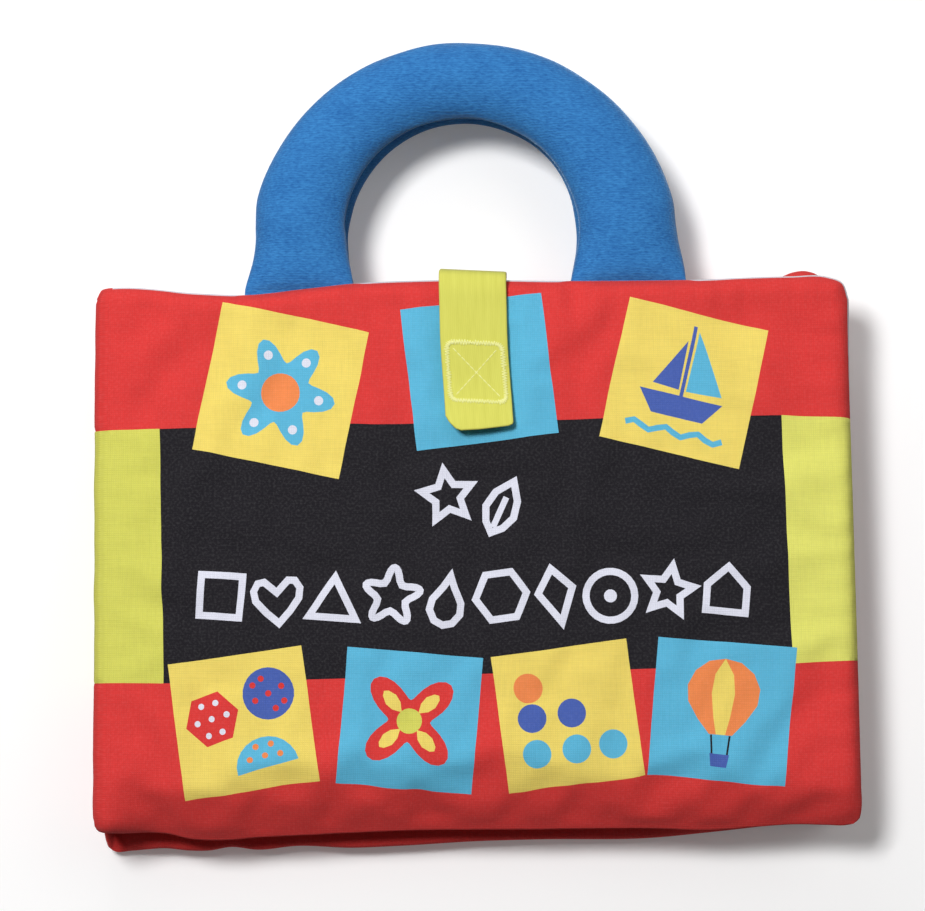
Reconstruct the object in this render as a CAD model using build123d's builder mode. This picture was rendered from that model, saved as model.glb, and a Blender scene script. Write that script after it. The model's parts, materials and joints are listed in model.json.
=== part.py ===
"""Soft cloth activity book, lying closed on its back cover.

Two padded covers fold on a cloth spine around a block of padded leaves. Each cover has a stuffed carry
handle sewn into its top seam. A strap sewn into the back cover's top seam closes over the front cover
with a hook patch on the strap and a loop patch on the cover.

X runs from the spine to the fore edge, Y from the bottom edge to the handles and Z up through the closed
book. The origin is under the middle of the whole book, on the surface that it lies on. Sizes are in
millimetres and angles in degrees.
"""

import os

from build123d import *

# Covers: padded panels, sewn round the edge at half their thickness
cover_width = 275.0
cover_height = 204.0
cover_thickness = 13.0
cover_corner_radius = 12.0
cover_edge_softness = 11.0
padding_angle = 48.0

# Leaves between the covers: smaller padded panels that lie on each other
leaf_count = 3
leaf_thickness = 6.5
leaf_inset = 4.0
leaf_corner_radius = 9.0
leaf_edge_softness = 8.0

# Spine: a cloth band that bulges out between the two cover seams
spine_thickness = 2.4
spine_bulge = 3.0

# Clearance between pieces that move against each other
fold_clearance = 0.3

# Handles: stuffed arches between two circles that aren't concentric, so that the legs are the widest
handle_offset = -4.9
handle_inner_radius = 43.0
handle_inner_rise = 17.0
handle_top_width = 30.0
handle_leg_width = 37.0
handle_thickness = 20.0
handle_floor_clearance = 0.2
handle_round_share = 0.48
handle_leg_height = 16.0
handle_foot_width = 39.0
handle_foot_thickness = 3.0
handle_foot_round_share = 0.45
seam_allowance = 10.0

# Closing strap and its hook and loop patches
strap_offset = -2.4
strap_width = 25.0
strap_thickness = 1.8
strap_standoff = 4.0
strap_reach = 55.0
strap_root_bend = 3.0
strap_top_bend = 5.0
strap_tail_slant = 4.0
strap_tail_radius = 4.0
patch_width = 21.0
patch_length = 22.0
patch_thickness = 1.4
patch_corner_radius = 2.0
patch_drop = 33.0
loop_patch_margin = 1.5

# Levels of the closed book, from the surface that it lies on
pages_base = cover_thickness
pages_top = pages_base + leaf_count * leaf_thickness
front_base = pages_top + fold_clearance
front_top = front_base + cover_thickness
back_seam_z = cover_thickness / 2
front_seam_z = front_base + cover_thickness / 2

# The handles' outer circle follows from the inner one and the widths at the top and at the legs
handle_rise = handle_inner_rise + handle_inner_radius + handle_top_width
handle_outer_radius = handle_inner_radius + handle_leg_width
handle_outer_rise = handle_rise - handle_outer_radius
handle_rounding = min(handle_thickness, handle_top_width) * handle_round_share

# The book stands centred on the origin, spine and handles included
spine_overhang = fold_clearance + spine_thickness + spine_bulge
cover_x = spine_overhang / 2
cover_y = -handle_rise / 2
spine_seam_x = cover_x - cover_width / 2
top_seam_y = cover_y + cover_height / 2
handle_x = cover_x + handle_offset
strap_x = cover_x + strap_offset

# Hinge lines of the two folds, clear of the cover seams by the fold clearance
fold_x = spine_seam_x - fold_clearance - spine_thickness / 2

# The handles' feet stand under the middle of their legs
foot_spacing = handle_outer_radius + handle_inner_radius
front_handle_z = front_top - handle_floor_clearance - handle_thickness / 2
back_handle_z = handle_floor_clearance + handle_thickness / 2

# The loop patch is flush with the front cover, and the strap lies on the hook patch
loop_patch_base = front_top - patch_thickness
hook_patch_base = front_top + fold_clearance
strap_z = hook_patch_base + patch_thickness + strap_thickness / 2
patch_y = top_seam_y - patch_drop


def seam_plane(x, seam_z):
    """A plane across the top seam of a cover, facing into the cover."""
    return Plane(origin=(x, top_seam_y, seam_z), x_dir=(1, 0, 0), z_dir=(0, -1, 0))


def padded_panel(seam_z, width, height, thickness, corner_radius, edge_softness):
    """A padded cloth panel with its seam at one height: both faces lean in from the seam and round over."""
    with BuildPart() as panel:
        with BuildSketch(Plane((cover_x, cover_y, seam_z))):
            RectangleRounded(width, height, corner_radius)
        extrude(amount=thickness / 2, both=True, taper=padding_angle)
        flat_faces = panel.faces().filter_by(GeomType.PLANE).filter_by(Axis.Z)
        fillet(flat_faces.edges(), edge_softness)
    return panel.part


def cover_panel(seam_z):
    """A cover's padded panel."""
    return padded_panel(
        seam_z, cover_width, cover_height, cover_thickness, cover_corner_radius, cover_edge_softness
    )


def leaf_panel(seam_z):
    """A leaf's padded panel, smaller than the covers all round."""
    leaf_width = cover_width - 2 * leaf_inset
    leaf_height = cover_height - 2 * leaf_inset
    return padded_panel(
        seam_z, leaf_width, leaf_height, leaf_thickness, leaf_corner_radius, leaf_edge_softness
    )


def foot_outline():
    """The flat, sewn end of a handle's leg."""
    foot_rounding = handle_foot_thickness * handle_foot_round_share
    return RectangleRounded(handle_foot_width, handle_foot_thickness, foot_rounding)


def foot_tongues(seam_z):
    """The two sewn ends of a handle, as far as they reach into the cover's top seam."""
    with BuildPart() as tongues:
        with BuildSketch(seam_plane(handle_x, seam_z)):
            with GridLocations(foot_spacing, 0, 2, 1):
                foot_outline()
        extrude(amount=seam_allowance)
    return tongues.part


def stuffed_arch(arch_z, seam_z):
    """A handle's arch at one height, with legs that flatten towards the cover's top seam."""
    arch_height = handle_rise - handle_leg_height
    with BuildPart() as arch:
        with BuildSketch(Plane((handle_x, top_seam_y, arch_z))):
            with Locations((0, handle_outer_rise)):
                Circle(handle_outer_radius)
            with Locations((0, handle_inner_rise)):
                Circle(handle_inner_radius, mode=Mode.SUBTRACT)
            with Locations((0, handle_leg_height + arch_height / 2)):
                Rectangle(2 * handle_outer_radius, arch_height, mode=Mode.INTERSECT)
        extrude(amount=handle_thickness / 2, both=True)
        fillet(arch.edges().filter_by(GeomType.CIRCLE), handle_rounding)
        for leg_end in arch.faces().filter_by(Axis.Y):
            side = 1 if leg_end.center().X > handle_x else -1
            with BuildSketch(seam_plane(handle_x + side * foot_spacing / 2, seam_z)) as foot:
                foot_outline()
            loft(sections=[leg_end, foot.sketch.face()])
    return arch.part


# Loop patch, sewn flush into the front cover's padding
with BuildPart() as loop_patch:
    with BuildSketch(Plane((strap_x, patch_y, loop_patch_base))):
        RectangleRounded(
            patch_width + 2 * loop_patch_margin, patch_length + 2 * loop_patch_margin, patch_corner_radius
        )
    extrude(amount=patch_thickness)
loop_patch.part.label = "loop_patch"

# Front cover, with pockets for its handle's feet and the loop patch
front_panel = cover_panel(front_seam_z)
front_tongues = foot_tongues(front_seam_z)
with BuildPart() as front_cover:
    add(front_panel)
    add(front_tongues, mode=Mode.SUBTRACT)
    add(loop_patch.part, mode=Mode.SUBTRACT)
front_cover.part.label = "front_cover"

# Back cover, with pockets for its handle's feet and the strap's root
back_panel = cover_panel(back_seam_z)
back_tongues = foot_tongues(back_seam_z)
with BuildPart() as back_cover:
    add(back_panel)
    add(back_tongues, mode=Mode.SUBTRACT)
    with BuildSketch(seam_plane(strap_x, back_seam_z)):
        Rectangle(strap_width, strap_thickness)
    extrude(amount=seam_allowance, mode=Mode.SUBTRACT)
back_cover.part.label = "back_cover"

# Leaves, sewn together as one block
leaves = [leaf_panel(pages_base + (leaf + 1 / 2) * leaf_thickness) for leaf in range(leaf_count)]
with BuildPart() as pages:
    add(leaves)
pages.part.label = "pages"

# Spine, with its round ends on the two fold lines
with BuildPart() as spine_panel:
    with BuildSketch(Plane.XZ.offset(-cover_y)):
        with BuildLine(mode=Mode.PRIVATE) as spine_curve:
            ThreePointArc(
                (fold_x, back_seam_z),
                (fold_x - spine_bulge, (back_seam_z + front_seam_z) / 2),
                (fold_x, front_seam_z),
            )
        SlotArc(spine_curve.edge(), spine_thickness)
    extrude(amount=cover_height / 2 - cover_corner_radius, both=True)
spine_panel.part.label = "spine_panel"

# Carry handles: an arch with its two sewn ends
front_arch = stuffed_arch(front_handle_z, front_seam_z)
with BuildPart() as front_handle:
    add([front_arch, front_tongues])
front_handle.part.label = "front_handle"

back_arch = stuffed_arch(back_handle_z, back_seam_z)
with BuildPart() as back_handle:
    add([back_arch, back_tongues])
back_handle.part.label = "back_handle"

# Closing strap: from the back cover's seam, up past the edges and over the front cover to a slanted tail
strap_back_y = top_seam_y + strap_standoff
strap_tail_y = top_seam_y - strap_reach
with BuildPart() as closure_strap:
    with BuildSketch(Plane.YZ.offset(strap_x)):
        with BuildLine() as strap_run:
            FilletPolyline(
                (top_seam_y - seam_allowance, back_seam_z),
                (strap_back_y, back_seam_z),
                (strap_back_y, strap_z),
                (strap_tail_y, strap_z),
                radius=[strap_root_bend, strap_top_bend],
            )
        trace(line_width=strap_thickness)
    extrude(amount=strap_width / 2, both=True)
    with BuildSketch(Plane((strap_x, strap_tail_y, strap_z))):
        with BuildLine():
            Polyline(
                (-strap_width / 2, 0),
                (strap_width / 2, 0),
                (strap_width / 2, strap_tail_slant),
                close=True,
            )
        make_face()
    extrude(amount=strap_thickness, both=True, mode=Mode.SUBTRACT)
    tail_edges = closure_strap.edges().filter_by(Axis.Z).sort_by(Axis.Y)[:2]
    fillet(tail_edges, strap_tail_radius)
closure_strap.part.label = "closure_strap"

# Hook patch under the strap, over the loop patch
with BuildPart() as hook_patch:
    with BuildSketch(Plane((strap_x, patch_y, hook_patch_base))):
        RectangleRounded(patch_width, patch_length, patch_corner_radius)
    extrude(amount=patch_thickness)
hook_patch.part.label = "hook_patch"

pieces = [
    front_cover,
    back_cover,
    pages,
    spine_panel,
    front_handle,
    back_handle,
    closure_strap,
    hook_patch,
    loop_patch,
]
os.makedirs("parts", exist_ok=True)
for piece in pieces:
    export_step(piece.part, f"parts/{piece.part.label}.step")
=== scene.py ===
"""Soft activity book: the visual model of its cloth, in the frame of its CAD parts.

Lengths are in millimetres until a mesh is made, which is in metres. X runs from the spine to the fore edge,
Y to the handles and Z up through the closed book.
"""

import json
import math

import bmesh
import bpy
import numpy as np
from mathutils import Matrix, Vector, geometry, kdtree, noise


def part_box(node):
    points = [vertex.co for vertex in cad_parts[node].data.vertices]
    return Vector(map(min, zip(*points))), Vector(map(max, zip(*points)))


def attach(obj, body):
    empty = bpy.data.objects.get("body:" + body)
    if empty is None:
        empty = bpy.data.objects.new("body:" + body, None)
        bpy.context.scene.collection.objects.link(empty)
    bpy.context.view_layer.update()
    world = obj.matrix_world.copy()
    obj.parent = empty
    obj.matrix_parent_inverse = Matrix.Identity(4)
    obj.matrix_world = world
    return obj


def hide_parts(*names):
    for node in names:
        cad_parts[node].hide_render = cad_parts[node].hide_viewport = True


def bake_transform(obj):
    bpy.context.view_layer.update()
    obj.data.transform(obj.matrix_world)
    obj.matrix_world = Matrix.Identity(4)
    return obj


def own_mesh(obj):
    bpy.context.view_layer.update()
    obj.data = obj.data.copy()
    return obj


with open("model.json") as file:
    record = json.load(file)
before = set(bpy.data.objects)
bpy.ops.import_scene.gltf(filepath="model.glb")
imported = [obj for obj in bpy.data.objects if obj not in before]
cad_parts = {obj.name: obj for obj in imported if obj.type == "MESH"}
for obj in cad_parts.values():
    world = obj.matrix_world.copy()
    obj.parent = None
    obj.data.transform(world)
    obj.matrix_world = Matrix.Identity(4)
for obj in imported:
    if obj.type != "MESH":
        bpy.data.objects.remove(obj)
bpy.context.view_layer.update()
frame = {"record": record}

MM = 0.001

# Guard against a division by zero
TINY = 1e-12

# Levels and lines that the CAD parts set
front_low, front_high = (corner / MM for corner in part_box("front_cover"))
back_low, back_high = (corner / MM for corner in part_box("back_cover"))
pages_low, pages_high = (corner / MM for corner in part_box("pages"))
spine_low, spine_high = (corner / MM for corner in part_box("spine_panel"))
joints = {joint["name"]: joint for joint in frame["record"]["behaviour"]["joints"]}
FOLD_X = joints["front_cover_fold"]["pos_m"][0] / MM
FRONT_SEAM = (front_low.z + front_high.z) / 2
BACK_SEAM = (back_low.z + back_high.z) / 2
SPINE_MID = (FRONT_SEAM + BACK_SEAM) / 2
TOP_SEAM = front_high.y

# Colours of the print and of the plain cloth
RED = "#DA3B39"
LIME = "#D3D25F"
# The right lime panel's colour is a paler lime with painted light: made paler still for the brighter light on
# the right side
PALE_LIME_WITH_PAINTED_LIGHT = "#E0DF6E"
BLACK = "#201E23"
YELLOW = "#EFD76B"
SKY = "#5DB6D9"
INDIGO = "#4A62B0"
ORANGE = "#EF8A50"
WHITE = "#DFE0EE"
UNPRINTED = "#E3DFE6"
LEAF = "#EDE9E2"


def linear(colour):
    """An sRGB hex colour as linear red, green, blue and alpha."""
    parts = [int(colour[i : i + 2], 16) / 255 for i in (1, 3, 5)]
    return (*(((c + 0.055) / 1.055) ** 2.4 if c > 0.04045 else c / 12.92 for c in parts), 1.0)


def smooth(at, knots, values):
    """A smooth curve through the values at the knots."""
    knots = np.asarray(knots, float)
    values = np.asarray(values, float)
    slopes = np.gradient(values, knots)
    i = np.clip(np.searchsorted(knots, at) - 1, 0, len(knots) - 2)
    step = knots[i + 1] - knots[i]
    t = np.clip((at - knots[i]) / step, 0, 1)
    ease = t * t * (3 - 2 * t)
    bend = step * (t * (1 - t) ** 2 * slopes[i] - t * t * (1 - t) * slopes[i + 1])
    return values[i] * (1 - ease) + values[i + 1] * ease + bend


def ramp(value, low, high):
    """0 below low, 1 above high and smooth between them."""
    t = np.clip((value - low) / (high - low), 0, 1)
    return t * t * (3 - 2 * t)


def wobble(x, y, size, seed):
    """Smooth random heights from -1 to 1, with hills of about the given size."""
    return np.array([noise.noise(Vector((a / size, b / size, seed))) for a, b in zip(x, y)])


def run_through(points, spacing):
    """A smooth line through a few points, as points at about one spacing."""
    points = np.asarray(points, float)
    knots = np.concatenate([[0], np.cumsum(np.linalg.norm(np.diff(points, axis=0), axis=1))])
    at = np.linspace(0, knots[-1], max(2, int(round(knots[-1] / spacing)) + 1))
    return np.stack([smooth(at, knots, points[:, k]) for k in range(points.shape[1])], axis=1)


def split(points, spacing):
    """A closed outline with its sides cut into steps of at most one spacing."""
    cut = []
    for start, end in zip(points, np.roll(points, -1, axis=0)):
        steps = max(1, math.ceil(np.linalg.norm(end - start) / spacing))
        cut += [start + (end - start) * k / steps for k in range(steps)]
    return np.array(cut)


def gap_to(points, line):
    """Distance from each point to a line of straight steps."""
    nearest = np.full(len(points), np.inf)
    for start, end in zip(line[:-1], line[1:]):
        step = end - start
        t = np.clip(((points - start) @ step) / max(step @ step, TINY), 0, 1)
        nearest = np.minimum(nearest, np.linalg.norm(points - start - t[:, None] * step, axis=1))
    return nearest


def inside(points, outline):
    """Which points are inside a closed outline."""
    x, y = points[:, 0], points[:, 1]
    hit = np.zeros(len(points), bool)
    for (x0, y0), (x1, y1) in zip(outline, np.roll(outline, -1, axis=0)):
        if y0 != y1:
            hit ^= ((y0 > y) != (y1 > y)) & (x < (x1 - x0) * (y - y0) / (y1 - y0) + x0)
    return hit


def inset(line, distance):
    """A line moved to its right-hand side by a distance."""
    along = np.gradient(line, axis=0)
    along /= np.linalg.norm(along, axis=1)[:, None]
    return line + distance * np.stack([along[:, 1], -along[:, 0]], axis=1)


def inner_rows(outline, gaps):
    """Rows of points inside a closed outline at the given gaps from it."""
    wrapped = np.concatenate([outline[-1:], outline, outline[:1]])
    return np.concatenate([inset(wrapped, gap)[1:-1] for gap in gaps])


def rounded_box(low, high, radius, turns):
    """The closed outline of a box with rounded corners, each turned in a number of steps."""
    corners = []
    for quarter, (a, b) in enumerate(((1, 1), (-1, 1), (-1, -1), (1, -1))):
        x = (high[0] if a > 0 else low[0]) - a * radius
        y = (high[1] if b > 0 else low[1]) - b * radius
        for k in range(turns + 1):
            angle = math.radians(90 * quarter + 90 / turns * k)
            corners.append((x + radius * math.cos(angle), y + radius * math.sin(angle)))
    return np.array(corners)


def near_tree(points):
    """A search tree for the points nearest to a place."""
    tree = kdtree.KDTree(len(points))
    for i, point in enumerate(points):
        tree.insert((*point, 0)[:3], i)
    tree.balance()
    return tree


# Sheets: how far the even points stay from drawn lines, as a share of their spacing, the gap under which two
# points are one, and twice the area under which a triangle is a sliver on a straight edge
LINE_CLEARANCE = 0.6
SAME_POINT = 1e-5
SLIVER = 1e-3


def cut_sheet(outline, rows, fields, ground, spacing):
    """A flat sheet cut along its printed fields: points, triangles, colours and outline numbers."""
    points = [*outline, *rows]
    edges = [(i, (i + 1) % len(outline)) for i in range(len(outline))]
    for _, field in fields:
        ring = split(np.asarray(field, float), spacing)
        first = len(points)
        points += [*ring]
        edges += [(first + i, first + (i + 1) % len(ring)) for i in range(len(ring))]
    tree = near_tree(points)
    low, high = outline.min(axis=0), outline.max(axis=0)
    row_step = spacing * math.sqrt(3) / 2
    grid = [
        (low[0] + spacing * (i + (j % 2) / 2), low[1] + row_step * j)
        for j in range(int((high[1] - low[1]) / row_step) + 1)
        for i in range(int((high[0] - low[0]) / spacing) + 1)
    ]
    grid = np.array(grid)
    grid = grid[inside(grid, outline)]
    points += [p for p in grid if tree.find((*p, 0))[2] > LINE_CLEARANCE * spacing]
    made = geometry.delaunay_2d_cdt([Vector(p) for p in points], edges, [], 0, SAME_POINT)
    flat = np.array([(v.x, v.y) for v in made[0]])
    triangles = np.array(made[2])
    middles = flat[triangles].mean(axis=1)
    spans = flat[triangles[:, 1:]] - flat[triangles[:, :1]]
    kept = inside(middles, outline) & (np.abs(np.linalg.det(spans)) > SLIVER)
    triangles, middles = triangles[kept], middles[kept]
    colours = np.tile(linear(ground), (len(triangles), 1))
    for colour, field in fields:
        field = np.asarray(field, float)
        near = np.all((middles >= field.min(axis=0)) & (middles <= field.max(axis=0)), axis=1)
        near[near] = inside(middles[near], field)
        colours[near] = linear(colour)
    number = {source: i for i, sources in enumerate(made[3]) for source in sources}
    return flat, triangles, colours, [number[i] for i in range(len(outline))]


def pad_sheets(outline, gaps, colour, spacing):
    """The upper and lower sheet of a plain padded piece, with rows of points just inside its edge."""
    return [cut_sheet(outline, inner_rows(outline, gaps), [], colour, spacing)] * 2


def cloth_pad(sides, lay, open_count=0):
    """A closed cloth shape from an upper and a lower sheet that share their outline.

    It is given as points, faces, colours and cloth map. The last open_count steps of the outline aren't sewn
    together, and get a narrow wall.
    """
    points, faces, colours, cloth, rims = [], [], [], [], []
    for side, (flat, triangles, tint, outline) in zip((1, -1), sides):
        first = sum(len(p) for p in points)
        points.append(lay(flat, side))
        faces += [tuple(first + i for i in triangle) for triangle in triangles]
        colours += [*tint]
        cloth.append(flat)
        rims.append([first + i for i in outline])
    count = len(rims[0])
    for k in range(count - open_count, count):
        a, b = k, (k + 1) % count
        faces.append((rims[0][a], rims[0][b], rims[1][b], rims[1][a]))
        colours.append(colours[0])
    return np.concatenate(points), faces, np.array(colours), np.concatenate(cloth)


def new_object(name, data):
    """A new object of the scene with the given data."""
    made = bpy.data.objects.new(name, data)
    bpy.context.scene.collection.objects.link(made)
    return made


# Seams: the gap that is welded, and the turn in degrees from which an edge stays sharp
WELD_GAP = 0.02
SHARP_TURN = 75


def cloth_object(name, pads, material):
    """One object from closed cloth shapes, welded along their seams, with its print and cloth map."""
    shape = bmesh.new()
    tint = shape.loops.layers.float_color.new("print")
    chart = shape.loops.layers.uv.new("cloth")
    for points, faces, colours, cloth in pads:
        verts = [shape.verts.new(point * MM) for point in points]
        for face, colour in zip(faces, colours):
            made = shape.faces.new([verts[i] for i in face])
            made.smooth = True
            for loop, i in zip(made.loops, face):
                loop[tint] = colour
                loop[chart].uv = cloth[i] * MM
    bmesh.ops.remove_doubles(shape, verts=shape.verts, dist=WELD_GAP * MM)
    bmesh.ops.recalc_face_normals(shape, faces=shape.faces)
    mesh = bpy.data.meshes.new(name)
    shape.to_mesh(mesh)
    shape.free()
    mesh.set_sharp_from_angle(angle=math.radians(SHARP_TURN))
    mesh.materials.append(material)
    return new_object(name, mesh)


def add_node(tree, kind, inputs=None, **settings):
    """Adds a node with its settings, and sets or links its inputs."""
    made = tree.nodes.new(kind)
    for name, value in settings.items():
        setattr(made, name, value)
    for name, value in (inputs or {}).items():
        if isinstance(value, bpy.types.NodeSocket):
            tree.links.new(value, made.inputs[name])
        else:
            made.inputs[name].default_value = value
    return made


def new_material(name, roughness, sheen):
    """A material with its shader, of one roughness and sheen."""
    material = bpy.data.materials.new(name)
    material.use_nodes = True
    shader = material.node_tree.nodes["Principled BSDF"]
    shader.inputs["Roughness"].default_value = roughness
    shader.inputs["Sheen Weight"].default_value = sheen
    shader.inputs["Sheen Roughness"].default_value = 0.5
    shader.inputs["Specular IOR Level"].default_value = 0.15
    return material, material.node_tree, shader


# One period of a band texture is this number divided by its scale
WAVE_PERIOD = math.pi / 10

# Printed plain-weave cotton: threads at 0.8 mm, drawn coarser than the real 0.4 mm so that they show, and
# uneven with slubs; fine pale speckles added to the colour are lint and painted sheen of the fibres
SLUB_WIDTH = 0.9 * MM
SLUB_LENGTH = 9 * MM
cotton, tree, shader = new_material("printed_cotton", 0.9, 0.03)
chart = add_node(tree, "ShaderNodeUVMap", uv_map="cloth").outputs["UV"]
tint = add_node(tree, "ShaderNodeAttribute", attribute_name="print").outputs["Color"]
thread_scale = WAVE_PERIOD / (0.8 * MM)
warp, weft = (
    add_node(
        tree,
        "ShaderNodeTexWave",
        {"Vector": chart, "Scale": thread_scale, "Distortion": 1.2, "Detail Scale": 0.4},
        bands_direction=direction,
    )
    for direction in "XY"
)
weave = add_node(
    tree, "ShaderNodeMath", {0: warp.outputs["Fac"], 1: weft.outputs["Fac"]}, operation="MULTIPLY"
)
slub_heights = []
for stretch in ((1 / SLUB_WIDTH, 1 / SLUB_LENGTH, 1), (1 / SLUB_LENGTH, 1 / SLUB_WIDTH, 1)):
    along = add_node(tree, "ShaderNodeMapping", {"Vector": chart, "Scale": stretch})
    slub = add_node(
        tree, "ShaderNodeTexNoise", {"Vector": along.outputs["Vector"], "Scale": 1.0, "Detail": 2.0}
    )
    slub_heights.append(slub.outputs["Fac"])
slubs = add_node(tree, "ShaderNodeMath", {0: slub_heights[0], 1: slub_heights[1]}, operation="ADD")
shade = add_node(
    tree, "ShaderNodeMath", {0: weave.outputs["Value"], 1: slubs.outputs["Value"]}, operation="ADD"
)
lightness = add_node(
    tree,
    "ShaderNodeMapRange",
    {"Value": shade.outputs["Value"], "From Min": 0.6, "From Max": 1.9, "To Min": 0.92, "To Max": 1.08},
)
dyed = add_node(
    tree,
    "ShaderNodeVectorMath",
    {0: tint, "Scale": lightness.outputs["Result"]},
    operation="SCALE",
)
# Painted sheen: fine speckles that lighten the base colour, seen most on the black print, stand in for light
# off the fibres as well as for lint
sheen_speckles = add_node(tree, "ShaderNodeTexNoise", {"Vector": chart, "Scale": 1 / (0.9 * MM), "Detail": 3.0})
lint_and_painted_sheen = add_node(
    tree,
    "ShaderNodeMapRange",
    {"Value": sheen_speckles.outputs["Fac"], "From Min": 0.45, "From Max": 0.75, "To Max": 0.022},
)
print_with_painted_sheen = add_node(
    tree, "ShaderNodeVectorMath", {0: dyed.outputs["Vector"], 1: lint_and_painted_sheen.outputs["Result"]}, operation="ADD"
)
tree.links.new(print_with_painted_sheen.outputs["Vector"], shader.inputs["Base Color"])
bump = add_node(
    tree,
    "ShaderNodeBump",
    {"Height": shade.outputs["Value"], "Strength": 0.35, "Distance": 0.25 * MM},
)
tree.links.new(bump.outputs["Normal"], shader.inputs["Normal"])

# Ribbed velour: short uneven pile in faint rows of 0.9 mm across the handle, with a soft sheen
velour, tree, shader = new_material("ribbed_velour", 0.95, 0.9)
shader.inputs["Sheen Roughness"].default_value = 0.35
shader.inputs["Sheen Tint"].default_value = linear("#B4D4F0")
place = add_node(tree, "ShaderNodeTexCoord").outputs["Object"]
rows = add_node(
    tree,
    "ShaderNodeTexWave",
    {
        "Vector": place,
        "Scale": WAVE_PERIOD / (0.9 * MM),
        "Distortion": 4.0,
        "Detail": 2.0,
        "Detail Scale": 2.0,
    },
    bands_direction="Y",
)
tuft_size = (1 / (1.9 * MM), 1 / (0.8 * MM), 1 / (0.8 * MM))
pile = add_node(tree, "ShaderNodeMapping", {"Vector": place, "Scale": tuft_size})
tufts = add_node(tree, "ShaderNodeTexNoise", {"Vector": pile.outputs["Vector"], "Scale": 1.0, "Detail": 4.0})
nap = add_node(tree, "ShaderNodeTexNoise", {"Vector": place, "Scale": 1 / (9 * MM), "Detail": 2.0})
rough_pile = add_node(
    tree,
    "ShaderNodeMath",
    {0: rows.outputs["Fac"], 1: 0.14, 2: tufts.outputs["Fac"]},
    operation="MULTIPLY_ADD",
)
pile_shade = add_node(
    tree,
    "ShaderNodeMath",
    {0: nap.outputs["Fac"], 1: 0.3, 2: rough_pile.outputs["Value"]},
    operation="MULTIPLY_ADD",
)
pile_colour = add_node(
    tree, "ShaderNodeMapRange", {"Value": pile_shade.outputs["Value"], "From Min": 0.37, "From Max": 1.07}
)
blues = add_node(
    tree,
    "ShaderNodeMix",
    {"Factor": pile_colour.outputs["Result"], "A": linear("#225C9F"), "B": linear("#408BCC")},
    data_type="RGBA",
)
tree.links.new(blues.outputs["Result"], shader.inputs["Base Color"])
bump = add_node(
    tree, "ShaderNodeBump", {"Height": rough_pile.outputs["Value"], "Strength": 0.6, "Distance": 0.5 * MM}
)
tree.links.new(bump.outputs["Normal"], shader.inputs["Normal"])

# Ribbed ribbon: faint uneven ribs of 0.7 mm along the strap
ribbon, tree, shader = new_material("ribbed_ribbon", 0.75, 0.1)
chart = add_node(tree, "ShaderNodeUVMap", uv_map="cloth").outputs["UV"]
ribs = add_node(
    tree,
    "ShaderNodeTexWave",
    {
        "Vector": chart,
        "Scale": WAVE_PERIOD / (0.7 * MM),
        "Distortion": 2.0,
        "Detail": 2.0,
        "Detail Scale": 0.6,
    },
    bands_direction="X",
)
along = add_node(tree, "ShaderNodeMapping", {"Vector": chart, "Scale": (1 / (1.6 * MM), 1 / (16 * MM), 1)})
slub = add_node(tree, "ShaderNodeTexNoise", {"Vector": along.outputs["Vector"], "Scale": 1.0, "Detail": 3.0})
shade = add_node(
    tree, "ShaderNodeMath", {0: ribs.outputs["Fac"], 1: 0.2, 2: slub.outputs["Fac"]}, operation="MULTIPLY_ADD"
)
rib_colour = add_node(
    tree, "ShaderNodeMapRange", {"Value": shade.outputs["Value"], "From Min": 0.3, "From Max": 0.95}
)
limes = add_node(
    tree,
    "ShaderNodeMix",
    {"Factor": rib_colour.outputs["Result"], "A": linear("#D0CE5A"), "B": linear("#DCDB68")},
    data_type="RGBA",
)
tree.links.new(limes.outputs["Result"], shader.inputs["Base Color"])
bump = add_node(
    tree,
    "ShaderNodeBump",
    {"Height": shade.outputs["Value"], "Strength": 0.3, "Distance": 0.3 * MM},
)
tree.links.new(bump.outputs["Normal"], shader.inputs["Normal"])

# Sewing thread: soft yarn, uneven at 0.6 mm
thread, tree, shader = new_material("sewing_thread", 0.6, 0.2)
place = add_node(tree, "ShaderNodeTexCoord").outputs["Object"]
yarn = add_node(tree, "ShaderNodeTexNoise", {"Vector": place, "Scale": 1 / (0.6 * MM), "Detail": 2.0})
strands = add_node(
    tree,
    "ShaderNodeMix",
    {"Factor": yarn.outputs["Fac"], "A": linear("#E4E480"), "B": linear("#F6F6B4")},
    data_type="RGBA",
)
tree.links.new(strands.outputs["Result"], shader.inputs["Base Color"])

# Hook-and-loop tape: woven ground with rows of small hooks or loops at 1.4 mm
tape, tree, shader = new_material("fastener_tape", 0.8, 0.15)
place = add_node(tree, "ShaderNodeTexCoord").outputs["Object"]
dots = add_node(tree, "ShaderNodeTexVoronoi", {"Vector": place, "Scale": 1 / (1.4 * MM), "Randomness": 0.35})
hooks = add_node(
    tree, "ShaderNodeMapRange", {"Value": dots.outputs["Distance"], "From Min": 0.1, "From Max": 0.6}
)
grounds = add_node(
    tree,
    "ShaderNodeMix",
    {"Factor": hooks.outputs["Result"], "A": linear("#E2E28A"), "B": linear("#A9AA4A")},
    data_type="RGBA",
)
tree.links.new(grounds.outputs["Result"], shader.inputs["Base Color"])
bump = add_node(
    tree,
    "ShaderNodeBump",
    {"Height": hooks.outputs["Result"], "Strength": 0.8, "Distance": 0.6 * MM},
    invert=True,
)
tree.links.new(bump.outputs["Normal"], shader.inputs["Normal"])


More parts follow.
